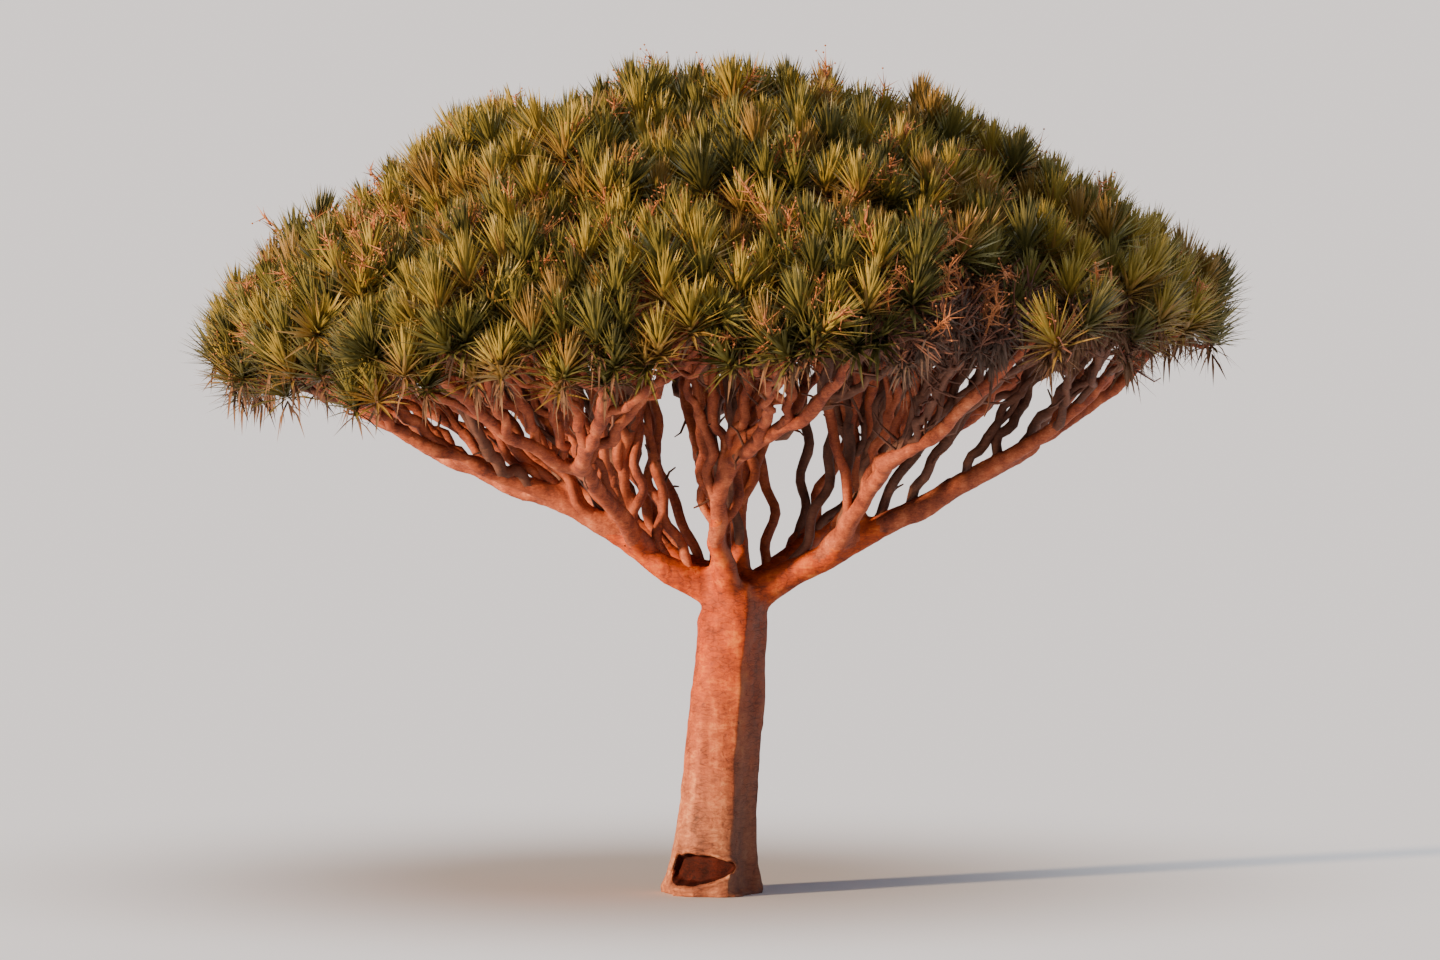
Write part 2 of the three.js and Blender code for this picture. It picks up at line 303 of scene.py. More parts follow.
def linear(code):
    """An sRGB hex colour as linear red, green, blue and alpha."""
    parts = [int(code[i:i + 2], 16) / 255 for i in (1, 3, 5)]
    return [p / 12.92 if p <= 0.04045 else ((p + 0.055) / 1.055) ** 2.4 for p in parts] + [1.0]


def node(tree, kind, inputs=None, **settings):
    """Adds a node. inputs maps a socket to a value, or to what links to it.

    That is another node's output, or a node, whose first output it then is.
    """
    made = tree.nodes.new(kind)
    for key, value in settings.items():
        setattr(made, key, value)
    for key, value in (inputs or {}).items():
        socket = made.inputs[key]
        if isinstance(value, bpy.types.Node):
            value = next(output for output in value.outputs if output.enabled)
        if isinstance(value, bpy.types.NodeSocket):
            tree.links.new(value, socket)
        else:
            socket.default_value = value
    return made


def new_material(name):
    """A new node material, its tree and its shader."""
    material = bpy.data.materials.new(name)
    material.use_nodes = True
    tree = material.node_tree
    return material, tree, tree.nodes["Principled BSDF"]


def ramp(tree, factor, stops):
    """A colour ramp through hex colours at places from 0 to 1."""
    made = node(tree, "ShaderNodeValToRGB", {"Fac": factor})
    elements = made.color_ramp.elements
    while len(elements) < len(stops):
        elements.new(0.5)
    for element, (place, code) in zip(elements, stops):
        element.position = place
        element.color = linear(code)
    return made


# Sizes of the patterns in the bark and the leaves, in millimetres. A leaf's veins are finer than
# a render shows, so its streaks are drawn far wider.
STREAK_MM = 125              # apart, between rain streaks
PATCH_MM = 160               # weathered patches
STAIN_MM = 90                # where resin bled out
LEAF_STREAK_MM = 16
BARK_RELIEF = 0.026          # metres, from the bark's deepest seam to its highest place
SHADY_SIDE = (0.98, 0.2, 0.0)  # the way that the side faces which gets painted grey shade, away from the key light


def bark_material(
    name, colours, stain, wrinkle_mm, wrinkled, seam_shade, bump, foot=None, painted_shade_grey=None,
):
    """Bark of a dragon tree: smooth, drawn into fine wrinkles that run across the limb.

    colours are a ramp that follows the bump, from painted shade in the bark's hollows to its lighter
    high places, foot is the ramp that they pass into near the ground, and stain is the colour of
    resin that has bled out.
    The last argument is a grey, painted on as shade on the side that faces away from the key light.
    wrinkled is the wrinkles' share in the pattern, and seam_shade how dark the seams between the
    bark's scales are, 1 being as light as the rest.
    """
    material, tree, shader = new_material(name)
    place = node(tree, "ShaderNodeTexCoord").outputs["Object"]
    # The wrinkles are wider than high, so the pattern is squeezed in height.
    squeezed = node(tree, "ShaderNodeMapping", {"Vector": place, "Scale": (1, 1, 2.6)})
    wrinkles = node(tree, "ShaderNodeTexNoise", {
        "Vector": squeezed, "Scale": 1000 / wrinkle_mm,
        "Detail": 5.0, "Roughness": 0.62, "Distortion": 1.1,
    })
    # Rain has run down it in streaks, so this pattern is drawn out in height.
    drawn = node(tree, "ShaderNodeMapping", {"Vector": place, "Scale": (1, 1, 0.16)})
    streaks = node(tree, "ShaderNodeTexNoise", {
        "Vector": drawn, "Scale": 1000 / STREAK_MM, "Detail": 3.0, "Roughness": 0.55,
    })
    patches = node(tree, "ShaderNodeTexNoise", {
        "Vector": place, "Scale": 1000 / PATCH_MM, "Detail": 6.0, "Roughness": 0.68,
    })
    weathered = node(tree, "ShaderNodeMix", {"Factor": 0.45, "A": patches, "B": streaks})
    mixed = node(tree, "ShaderNodeMix", {"Factor": wrinkled, "A": weathered, "B": wrinkles})
    # The bump rises with the same pattern, so this ramp paints shade into the bark's hollows.
    base = ramp(tree, mixed, colours)
    if foot:
        height = node(tree, "ShaderNodeSeparateXYZ", {"Vector": place}).outputs["Z"]
        uneven = node(tree, "ShaderNodeMath", {0: patches, 1: height}, operation="ADD")
        risen = node(tree, "ShaderNodeMapRange", {
            "Value": uneven, "From Min": 0.9, "From Max": 2.3,
        })
        base = node(tree, "ShaderNodeMix", {
            "Factor": risen, "A": ramp(tree, mixed, foot), "B": base,
        }, data_type="RGBA")
    # Painted shade: the side that faces away from the key light is mixed in patches toward a grey.
    if painted_shade_grey:
        facing = node(tree, "ShaderNodeVectorMath", {
            0: node(tree, "ShaderNodeTexCoord").outputs["Normal"], 1: SHADY_SIDE,
        }, operation="DOT_PRODUCT")
        patchy = node(tree, "ShaderNodeMath", {0: facing, 1: weathered}, operation="ADD")
        painted_shade_mask = node(tree, "ShaderNodeMapRange", {
            "Value": patchy, "From Min": 0.75, "From Max": 1.3, "To Max": 0.65,
        })
        base = node(tree, "ShaderNodeMix", {
            "Factor": painted_shade_mask, "A": base, "B": linear(painted_shade_grey),
        }, data_type="RGBA")
    # In places the bark has parted in small flat scales, with dark seams between them. The seams
    # don't run straight, because the wrinkles push them aside.
    pushed = node(tree, "ShaderNodeMix", {
        "Factor": 0.04, "A": squeezed, "B": wrinkles.outputs["Color"],
    }, data_type="RGBA")
    seams = node(tree, "ShaderNodeTexVoronoi", {
        "Vector": pushed, "Scale": 1000 / wrinkle_mm, "Randomness": 1.0,
    }, feature="DISTANCE_TO_EDGE")
    seam = node(tree, "ShaderNodeMapRange", {
        "Value": seams, "From Min": 0.0, "From Max": 0.09, "To Min": seam_shade, "To Max": 1.0,
    })
    scaly = node(tree, "ShaderNodeMapRange", {
        "Value": weathered, "From Min": 0.6, "From Max": 0.42,
    })
    parted = node(tree, "ShaderNodeMix", {"Factor": scaly, "A": 1.0, "B": seam})
    base = node(tree, "ShaderNodeMix", {
        "Factor": 1.0, "A": base, "B": parted,
    }, data_type="RGBA", blend_type="MULTIPLY")
    bleeding = node(tree, "ShaderNodeTexNoise", {
        "Vector": place, "Scale": 1000 / STAIN_MM, "Detail": 4.0, "Roughness": 0.7,
    })
    stained = node(tree, "ShaderNodeMapRange", {
        "Value": bleeding, "From Min": 0.62, "From Max": 0.72,
    })
    colour = node(tree, "ShaderNodeMix", {
        "Factor": stained, "A": base, "B": linear(stain),
    }, data_type="RGBA")
    raised = node(tree, "ShaderNodeMix", {"Factor": 0.22, "A": mixed, "B": parted})
    relief = node(tree, "ShaderNodeBump", {
        "Height": raised, "Strength": bump, "Distance": BARK_RELIEF,
    })
    tree.links.new(colour.outputs["Result"], shader.inputs["Base Color"])
    tree.links.new(relief.outputs["Normal"], shader.inputs["Normal"])
    rough = node(tree, "ShaderNodeMapRange", {"Value": wrinkles, "To Min": 0.62, "To Max": 0.86})
    tree.links.new(rough.outputs["Result"], shader.inputs["Roughness"])
    shader.inputs["IOR"].default_value = 1.45
    return material


def leaf_material(name, code, roughness=0.46):
    """A stiff sword leaf, whose wax gives it a soft sheen, in one plain colour with faint streaks."""
    material, tree, shader = new_material(name)
    place = node(tree, "ShaderNodeTexCoord").outputs["Object"]
    streak = node(tree, "ShaderNodeTexNoise", {
        "Vector": place, "Scale": 1000 / LEAF_STREAK_MM, "Detail": 2.0,
    })
    plain = np.array(linear(code))
    shade = node(tree, "ShaderNodeMix", {
        "Factor": streak, "A": plain * (0.72, 0.74, 0.72, 1), "B": plain * (1.28, 1.24, 1.2, 1),
    }, data_type="RGBA")
    tree.links.new(shade.outputs["Result"], shader.inputs["Base Color"])
    shader.inputs["Roughness"].default_value = roughness
    shader.inputs["IOR"].default_value = 1.45
    return material


# Old smooth bark of the trunk: waxy, deeper orange high up, paler and pinker near the ground, with
# low scales and dark seams in places, and painted grey shade on its side away from the key light.
# To the eye it is matt, with a faint sheen on what is raised.
TRUNK_BARK = bark_material(
    "trunk_bark_smooth_waxy",
    [(0.36, "#6b2408"), (0.45, "#943508"), (0.53, "#b24508"), (0.62, "#d26e27")],
    "#6e2f1d", wrinkle_mm=90, wrinkled=0.3, seam_shade=0.6, bump=0.9,
    foot=[(0.36, "#532d20"), (0.45, "#83482f"), (0.53, "#a36242"), (0.62, "#c38963")],
    # a grey painted on as shade on the side away from the key light
    painted_shade_grey="#74564a",
)
# Young bark of boughs and branches: redder, with finer scales, and without the trunk's painted grey
# shade.
BRANCH_BARK = bark_material(
    "branch_bark_young_reddish",
    [(0.34, "#4e2115"), (0.44, "#803820"), (0.54, "#a65330"), (0.66, "#c97b52")],
    "#7c3722", wrinkle_mm=34, wrinkled=0.34, seam_shade=0.66, bump=0.7,
)
# Grey brown, dull bark without wax: that of dead twigs and of the dead patch's branches, and painted
# shade on the other side branches that get it, most of them on the right.
GREY_BARK_AND_PAINTED_SHADE = bark_material(
    "branch_bark_grey_brown_dead_and_painted_shade",
    [(0.30, "#341f17"), (0.43, "#553426"), (0.54, "#704634"), (0.72, "#93674f")],
    "#4c281d", wrinkle_mm=34, wrinkled=0.34, seam_shade=0.8, bump=0.6,
)
# The red resin that gives the tree its name, bled out and dried to a dark crust inside the hollow,
# its colours darkened further as painted shade in the recess.
RESIN_AND_PAINTED_SHADE = bark_material(
    "hollow_dark_red_resin_and_painted_shade",
    [(0.30, "#150603"), (0.43, "#2c0d07"), (0.56, "#46170d"), (0.75, "#642817")],
    "#0e0402", wrinkle_mm=30, wrinkled=0.4, seam_shade=0.8, bump=0.8,
)
# The crust inside the hollow is dull with dust.
RESIN_AND_PAINTED_SHADE.node_tree.nodes["Principled BSDF"].inputs["Specular IOR Level"].default_value = 0.15

# Leaf colours from light to dark, with how often a rosette has each. The older, lower leaves of a
# rosette take the next darker one, partly as painted shade under its upper leaves.
LEAF_COLOURS = [
    ("sword_leaf_yellow_olive", "#978539", 0.36),
    ("sword_leaf_tan_olive", "#8c7038", 0.14),
    ("sword_leaf_olive", "#726b32", 0.33),
    ("sword_leaf_deep_green", "#5a562a", 0.17),
]
# Dry leaves have lost their wax, so they are matt. The flower stalks are woody and pale.
DRY_LEAF = leaf_material("dry_leaf_brown", "#6a4b33", roughness=0.75)
DEAD_LEAF = leaf_material("dead_leaf_grey_brown", "#5a463b", roughness=0.8)
DRY_STALK = leaf_material("dry_flower_stalk_pink_tan", "#a8693f", roughness=0.7)


# Trunk and boughs

def trunk_stock():
    """The CAD trunk's own outline, smoothed between its slices."""
    points, edges, _ = mesh_arrays("trunk")
    top = points[:, 2].max()
    levels = np.concatenate([np.linspace(0.004, 0.5, 24), np.linspace(0.53, top - 0.01, 60)])
    turn = np.linspace(-np.pi, np.pi, 72, endpoint=False)
    rings = []
    for ring in slices(points, edges, UP, levels):
        middle = (ring.min(0) + ring.max(0)) / 2
        out = ring - middle
        angle = np.arctan2(out[:, 1], out[:, 0])
        order = np.argsort(angle)
        reach = np.interp(
            turn, angle[order], np.linalg.norm(out[order], axis=1), period=2 * np.pi,
        )
        rings.append(middle + np.stack([reach * np.cos(turn), reach * np.sin(turn), 0 * turn], -1))
    rings = np.array(rings)
    rings[0, :, 2] = 0.0
    count, sides = rings.shape[:2]
    points = np.vstack([rings.reshape(-1, 3), rings[0].mean(0), rings[-1].mean(0)])
    foot = np.arange(sides)
    return points, np.concatenate([
        between_rings(count, sides),
        fan(len(points) - 2, foot)[:, OTHER_WAY],
        fan(len(points) - 1, (count - 1) * sides + foot),
    ])


LIMB_SIDES = 20
LIMB_STEP = 0.05             # from ring to ring along a limb


def wandering(line, radii, amount, seed):
    """The line with small bends and the radii with knobs, as a limb that grew in steps has."""
    shift = np.stack([noise(line, 0.30, seed + k) for k in range(3)], -1)
    fade = np.sin(np.pi * np.linspace(0, 1, len(line)))[:, None] ** 0.5
    knobs = 1 + amount * (0.16 * noise(line, 0.17, seed + 5) + 0.09 * noise(line, 0.08, seed + 6))
    return line + shift * fade * radii[:, None] * amount, radii * knobs


def grown_limb(name, cut, back, collar, amount, seed):
    """A limb's line and radii on CAD's course, run back into what carries it, with a collar there.

    back is how far it runs on inside that, collar how much thicker it is there, as a share, and
    amount how much it wanders.
    """
    line, radii = limb_course(name, cut)
    first = unit(line[2] - line[0])
    line = np.vstack([line[0] - (cut + back) * first, line[0] - (cut + back) / 2 * first, line])
    radii = np.concatenate([radii[:1], radii[:1], radii])
    last = unit(line[-1] - line[-2])
    line = np.vstack([line, line[-1] + LIMB_STEP * last])
    radii = np.concatenate([radii, radii[-1:]])
    line, radii = resampled(line, radii, LIMB_STEP)
    line, radii = wandering(line, radii, amount, seed)
    at = np.arange(len(line)) * LIMB_STEP
    return line, SLIMMER * radii * (1 + collar * np.exp(-((at / (0.8 * (cut + back))) ** 2)))


def voxel_joined(obj, size):
    """Melts the piece's overlapping solids into one skin and returns that as a mesh."""
    melt = obj.modifiers.new("melt", "REMESH")
    melt.mode = "VOXEL"
    melt.voxel_size = size
    soften = obj.modifiers.new("soften", "SMOOTH")
    soften.factor = 0.5
    soften.iterations = 7
    graph = bpy.context.evaluated_depsgraph_get()
    mesh = bpy.data.meshes.new_from_object(obj.evaluated_get(graph))
    bpy.data.objects.remove(obj)
    return mesh


SLIMMER = 0.88               # the corners of CAD's six-sided limbs stand out past the round ones
BOUGH_GROWTH = {"cut": 0.30, "back": 0.08, "collar": 0.5, "amount": 0.3}
LIMB_GROWTH = {"cut": 0.16, "back": 0.04, "collar": 0.3, "amount": 0.7}
BROKEN_TAPER = np.array([1.25, 0.95, 0.9])
# Limbs that broke off short long ago: from inside the bough that bore them, to the top, and how
# thick.
BROKEN_LIMBS = [
    ((-0.62, -0.03, 2.58), (-0.56, -0.10, 2.90), 0.058),
    ((0.02, -0.10, 2.36), (0.08, -0.14, 2.84), 0.046),
]
carriers = {}
wood = Stock()
wood.add(*trunk_stock())
for number, name in enumerate(BOUGHS):
    carriers[name] = grown_limb(name, **BOUGH_GROWTH, seed=100 + 10 * number)
for number, name in enumerate(LIMBS):
    carriers[name] = grown_limb(name, **LIMB_GROWTH, seed=500 + 10 * number)
for foot, top, radius in BROKEN_LIMBS:
    foot, top = np.array(foot), np.array(top)
    line = np.array([foot, (foot + top) / 2, top])
    line, radii = resampled(line, radius * BROKEN_TAPER, LIMB_STEP)
    carriers[f"broken_{top[0]}"] = wandering(line, radii, amount=0.5, seed=900)
for line, radii in carriers.values():
    points, faces = tube(line, radii, LIMB_SIDES)
    # The near end is closed, so that the melt has closed solids.
    near_end = fan(len(points), np.arange(LIMB_SIDES))
    wood.add(np.vstack([points, line[0]]), np.vstack([faces, near_end]))


def hollow_edge(points):
    """How far each point lies from the middle of the hollow, whose rim is at 1.

    The hollow is bean shaped, thicker on its left, with a ragged rim.
    """
    angle = np.arctan2(points[:, 0] - 0.013, -points[:, 1])
    along = (angle - HOLLOW_MIDDLE) / HOLLOW_HALF_ANGLE
    thickness = HOLLOW_HALF_HEIGHT * np.clip(1 - 0.38 * along, 0.3, 1.5)
    upward = (points[:, 2] - HOLLOW_HEIGHT - 0.015 * along) / thickness
    ragged = 0.13 * noise(points, 0.13, 11) + 0.06 * noise(points, 0.05, 13)
    elsewhere = (np.linalg.norm(points[:, :2], axis=1) > 0.6) | (points[:, 2] > 1.0)
    return np.where(elsewhere, 9.0, np.hypot(along, upward) + ragged)


def refined(mesh, chosen):
    """Halves each edge of the mesh where chosen, a test on points, is true at both ends."""
    fine = bmesh.new()
    fine.from_mesh(mesh)
    picked = chosen(np.array([v.co for v in fine.verts]))
    edges = [e for e in fine.edges if all(picked[v.index] for v in e.verts)]
    bmesh.ops.subdivide_edges(fine, edges=edges, cuts=1, use_grid_fill=True)
    fine.to_mesh(mesh)
    fine.free()


bark_mesh = voxel_joined(wood.piece("rough_wood", TRUNK_BARK), BARK_VOXEL)
refined(bark_mesh, lambda points: points[:, 2] < FINE_BELOW)
refined(bark_mesh, lambda points: hollow_edge(points) < 1.4)
refined(bark_mesh, lambda points: np.abs(hollow_edge(points) - RESIN_AND_SHADE_FROM) < 0.1)
bark_points = rows(bark_mesh.vertices, "co", 3)
bark_normals = rows(bark_mesh.vertex_normals, "vector", 3)

# Relief. Right of a ridge that runs up its front, the trunk falls back in a flat face.
on_trunk = np.clip((RELIEF_TOP - bark_points[:, 2]) / RELIEF_FADE, 0, 1)
rightward = bark_points[:, 0] - TRUNK_LEAN * bark_points[:, 2] / TRUNK_HEIGHT
angle = np.arctan2(rightward, -bark_points[:, 1])
upright = bark_points * (0.2, 0.2, 1)
ridge = RIDGE_ANGLE + 0.1 * noise(upright, 0.5, 17) + 0.06 * noise(upright, 0.14, 18)
off = np.clip(angle - ridge - FACE_ANGLE / 2, -FACE_ANGLE / 2, FACE_ANGLE / 2)
fallen_back = TRUNK_RADIUS * (1 - math.cos(FACE_ANGLE / 2) / np.cos(off))
# Then broad dents and flutes that run up the trunk, and wrinkles and small bumps everywhere.
relief = (
    on_trunk * 0.014 * noise(bark_points, 0.36, 7)
    - on_trunk * fallen_back
    + on_trunk * 0.009 * noise(bark_points * (1, 1, 0.22), 0.14, 10)
    + 0.003 * noise(bark_points * (1, 1, 3.0), 0.16, 8)
    + 0.004 * noise(bark_points, 0.07, 9)
)
# The hollow sinks straight in, inside a swollen lip.
edge = hollow_edge(bark_points)
in_hollow = np.clip((1.06 - edge) / 0.34, 0, 1)
sunk = HOLLOW_DEPTH * in_hollow * in_hollow * (3 - 2 * in_hollow)
sunk *= 1 + 0.18 * noise(bark_points, 0.12, 14)
relief += 0.012 * np.exp(-(((edge - 1.2) / 0.13) ** 2))
above_ground = np.clip((bark_points[:, 2] - FLAT_BELOW) / 0.03, 0, 1)
inwards = np.array([-math.sin(HOLLOW_MIDDLE), math.cos(HOLLOW_MIDDLE), 0.0])
bark_points += (above_ground * relief)[:, None] * bark_normals
bark_points += (above_ground * sunk)[:, None] * inwards
bark_points[:, 2] = np.where(bark_points[:, 2] < FLAT_BELOW, 0.0, bark_points[:, 2])
bark_mesh.vertices.foreach_set("co", bark_points.astype(np.float32).ravel())
bark_mesh.materials.clear()
for material in (TRUNK_BARK, BRANCH_BARK, RESIN_AND_PAINTED_SHADE):
    bark_mesh.materials.append(material)
first_corner = rows(bark_mesh.polygons, "loop_start", 1, np.int32)[:, 0]
face_point = rows(bark_mesh.loops, "vertex_index", 1, np.int32)[first_corner, 0]
young = bark_points[face_point, 2] + 0.25 * noise(bark_points[face_point], 0.2, 15) > YOUNG_BARK_FROM
# Inside the hollow: dark red resin, darkened further as painted shade.
kind = np.where(edge[face_point] < RESIN_AND_SHADE_FROM, 2, np.where(young, 1, 0))
bark_mesh.polygons.foreach_set("material_index", kind.astype(np.int32))
bark_mesh.polygons.foreach_set("use_smooth", np.full(len(bark_mesh.polygons), True))
bark_mesh.update()
trunk_and_boughs = bpy.data.objects.new("trunk_and_boughs", bark_mesh)
bpy.context.scene.collection.objects.link(trunk_and_boughs)
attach(trunk_and_boughs, "root")
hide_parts("trunk", *BOUGHS, *LIMBS)


# Where the rosettes sit

def crown_sites(rng):
    """Places over the crown, evenly apart, each with the way out of the crown and its leaf mass.

    The last list tells which of them lie in the notch between two masses.
    """
    places, outs, masses = [], [], []
    for number, name in enumerate(MASSES):
        points, _, faces = mesh_arrays(name)
        a, b, c = points[faces[:, 0]], points[faces[:, 1]], points[faces[:, 2]]
        normal = np.cross(b - a, c - a)
        area = np.linalg.norm(normal, axis=1) / 2
        normal = unit(normal)
        outward = np.einsum("ij,ij->i", normal, unit((a + b + c) / 3 - CROWN_FOCUS))
        leafy = outward > 0.02
        total = area[leafy].sum()
        chosen = rng.choice(len(area), round(total * SITES_PER_M2), p=area * leafy / total)
        u, v = rng.random((2, len(chosen), 1))
        flip = u + v > 1
        u, v = np.where(flip, 1 - u, u), np.where(flip, 1 - v, v)
        places.append(a[chosen] + u * (b - a)[chosen] + v * (c - a)[chosen])
        outs.append(normal[chosen])
        masses.append(np.full(len(chosen), number))
    places, outs, masses = (np.concatenate(part) for part in (places, outs, masses))
    # The notches between the masses are leafy too: places halfway from one mass to the next.
    ones, others = [], []
    for _ in range(NOTCH_ROUNDS):
        some = rng.choice(len(places), NOTCH_SAMPLE, replace=False)
        gap = np.linalg.norm(places[some][:, None] - places[some][None], axis=2)
        near = (gap < NOTCH_REACH) & (gap > 0.1)
        one, other = np.nonzero(near & (masses[some][:, None] != masses[some][None]))
        pairs = rng.choice(len(one), min(NOTCH_PAIRS, len(one)), replace=False)
        ones.append(some[one[pairs]])
        others.append(some[other[pairs]])
    one, other = np.concatenate(ones), np.concatenate(others)
    places = np.vstack([places, (places[one] + places[other]) / 2])
    outs = np.vstack([outs, unit(outs[one] + outs[other] + 0.3 * UP)])
    masses = np.concatenate([masses, masses[one]])
    sunken = np.arange(len(places)) >= len(places) - len(one)
    kept = []
    for i in rng.permutation(len(places)):
        if not kept or np.min(np.sum((places[kept] - places[i]) ** 2, 1)) > ROSETTE_SPACING**2:
            kept.append(i)
    return places[kept], outs[kept], [MASSES[masses[i]] for i in kept], sunken[kept]


rng = np.random.default_rng(TREE_SEED)
places, outs, owner, sunken = crown_sites(rng)
# The crown's surface swells and dips from one clump to the next.
places = places + outs * (
    0.08 * noise(places, 0.8, 31) + 0.05 * noise(places, 0.4, 32) - NOTCH_DEPTH * sunken
)[:, None]
places[:, 2] = np.minimum(places[:, 2], CROWN_TOP)
least, most = np.array(cad_box)[:, :2]
places[:, :2] = np.clip(places[:, :2], least + RIM_INSET, most - RIM_INSET)
# Rosettes stand nearly upright, and lean outwards a little. Each heart lies so far in that the
# leaf tips end at the crown's outline.
aim = unit(0.38 * outs + 0.8 * UP + 0.15 * rng.normal(size=outs.shape))
hearts = (
    places
    - aim * LEAF_LENGTH * rng.uniform(0.55, 0.72, (len(places), 1))
    - outs * rng.uniform(0.02, 0.14, (len(places), 1))
)


def in_front(x_range, z_range):
    """Which places lie in the crown's front between two distances to the right and two heights."""
    x, y, z = places.T
    across = (x > x_range[0]) & (x < x_range[1])
    return (y < CROWN_FRONT) & across & (z > z_range[0]) & (z < z_range[1])


dead = in_front(DEAD_X, (0.0, DEAD_TOP))
dry = in_front(DRY_X, DRY_Z)
chance = rng.random(len(places))
bare = (dead & (chance < DEAD_BARE_SHARE)) | (~dead & ~dry & (chance < SPENT_SHARE))
withered = (dead | dry) & ~bare & (chance < WITHERED_UP_TO)


# Branches. The boughs' own side branches climb to the rosettes above them. The other rosettes of
# each mass are dealt out to places along its limb, the widest off its way lowest down. Every side
# branch then parts in two again and again until it carries one rosette.

# Shares of a bough's length where branches leave it, how far above it they carry their rosettes,
# and how much they lean the bough's way. The ones near the fork climb steeply into the dome.
BOUGH_PLACES = [
    (0.13, 2.7, 0.15), (0.24, 1.6, 0.5), (0.3, 2.5, 0.1), (0.38, 1.6, 0.5),
    (0.52, 1.6, 0.5), (0.66, 1.6, 0.5), (0.8, 1.6, 0.5), (0.93, 1.6, 0.5),
]
BOUGH_BRANCH_TIPS = 6
LEFT_TO_LIMB = 12            # rosettes of a mass that its own limb keeps
# Shares of a limb's length where side branches leave it, and how much of what is left each takes.
SIDE_PLACES = [
    (0.08, 0.2), (0.22, 0.22), (0.36, 0.25), (0.5, 0.28), (0.66, 0.33), (0.83, 0.42), (1.0, 1.0),
]


def station(name, share):
    """The point a share of the way along a bough or limb, and its way there."""
    line = carriers[name][0]
    i = round(share * (len(line) - 1))
    return line[i], unit(np.gradient(line, axis=0))[i]


def dealt_out(name, members):
    """The side branches of a limb: where each starts, which way the limb runs there, and its tips."""
    left = list(members)
    for share, portion in SIDE_PLACES:
        if not left:
            return
        start, way = station(name, share)
        out = unit(hearts[left] - start)
        widest = left[int(np.argmin(out @ way))]
        order = np.argsort(np.linalg.norm(hearts[left] - hearts[widest], axis=1))
        taken = [left[k] for k in order[:max(1, round(len(left) * portion))]]
        left = [k for k in left if k not in taken]
        yield start, way, taken


def halves(members, rng):
    """Parts rosettes in two groups across the way they lie furthest spread."""
    spread = hearts[members] - hearts[members].mean(0)
    axis = np.linalg.svd(spread, full_matrices=False)[2][0]
    order = [members[k] for k in np.argsort(spread @ axis)]
    middle = len(order) / 2 + rng.uniform(-0.24, 0.24) * len(order)
    cut = min(len(order) - 1, max(1, round(middle)))
    return order[:cut], order[cut:]


young_wood, dead_and_shaded_wood = Stock(), Stock()
# Side branches that get the grey brown bark, as painted shade, are few on the left and many on the
# right; by the dead patch most get it, as dead wood there and painted shade.
PAINTED_SHADE_SHARE_LEFT = 0.12
PAINTED_SHADE_SHARE_RIGHT = 0.5
GREY_SHARE_BY_DEAD_PATCH = 0.7
TWIGS_BY_DEAD_PATCH = 7      # dead twigs on each of its branches
TWIGS_AT_DEAD_END = 9        # and on each of their ends
TWIGS_AT_DRY_END = 3
TWIG_RADIUS = 0.009


def wood_at(point, rng):
    """The stock that a side branch from this point belongs to, by the colour of its bark."""
    # Grey bark here is painted shade, given more often the further right the branch starts.
    share = np.interp(point[0], (-1.2, 1.0), (PAINTED_SHADE_SHARE_LEFT, PAINTED_SHADE_SHARE_RIGHT))
    if point[1] < 0 and point[0] > 0.9:
        share = GREY_SHARE_BY_DEAD_PATCH
    return dead_and_shaded_wood if rng.random() < share else young_wood


def sinuous(line, straight, amplitude, rng):
    """The line with bends to all sides that fade at its ends."""
    t = np.linspace(0, 1, len(line))
    wobble = np.sin(np.pi * t)[:, None] * amplitude
    for turns in (0.9, 2.2):
        side = unit(np.cross(straight, rng.normal(size=3)))
        line = line + wobble * np.sin(2 * np.pi * (turns * t + rng.random()))[:, None] * side
    return line


def stub(stock, start, way, radius, length, rng):
    """A dead twig without leaves, which narrows to its broken end."""
    aside = unit(way + 0.75 * rng.normal(size=3))
    line = bent(start, aside, start + aside * length, unit(aside + 0.6 * rng.normal(size=3)), 3)
    stock.add(*tube(line, radius * np.array([1.0, 0.8, 0.66, 0.45]), 4))


def grow(stock, start, way, members, rng):
    """Adds a branch from start that carries the given rosettes, and all that parts from it."""
    count = len(members)
    twiggy = dead[members].mean() > 0.5
    if twiggy:
        stock = dead_and_shaded_wood
    target = hearts[members].mean(0)
    if count > 1:
        # Forks come at even steps, so the more there are to come the nearer the next one is.
        share = 1.1 / (math.log2(count) + 1.1) * rng.uniform(0.8, 1.15)
        end = start + (target - start) * share + way * np.linalg.norm(target - start) * 0.05
        end_way = unit(target - end)
    else:
        end, end_way = target, aim[members[0]]
    chord = end - start
    length = np.linalg.norm(chord)
    straight = chord / max(length, 1e-6)
    steps = max(3, round(length / BRANCH_STEP))
    line = bent(start, unit(0.6 * way + 0.55 * straight), end, unit(end_way + 0.7 * straight), steps)
    line = sinuous(line, straight, min(length, 0.7) * BRANCH_BEND, rng)
    t = np.linspace(0, 1, steps + 1)
    # Each growth starts from a swollen joint, narrows, and swells again below the next one.
    swelling = 1 + 0.20 * np.exp(-((t * length / 0.07) ** 2)) - 0.12 * t + 0.22 * t**4
    swelling = swelling * (1 + 0.12 * noise(line, 0.07, 3))
    radius = TIP_RADIUS * count**PIPE_POWER
    sides = 5 if count == 1 else 6 if count < 5 else 8
    stock.add(*tube(line, radius * swelling, sides))
    for _ in range(TWIGS_BY_DEAD_PATCH if twiggy else rng.integers(0, 2)):
        at = line[rng.integers(1, steps)]
        reach = rng.uniform(0.12, 0.42 if twiggy else 0.26)
        stub(dead_and_shaded_wood, at, straight, min(radius * 0.6, 0.013), reach, rng)
    if count > 1:
        leaving = unit(line[-1] - line[-2])
        for group in halves(members, rng):
            grow(stock, line[-1], leaving, group, rng)


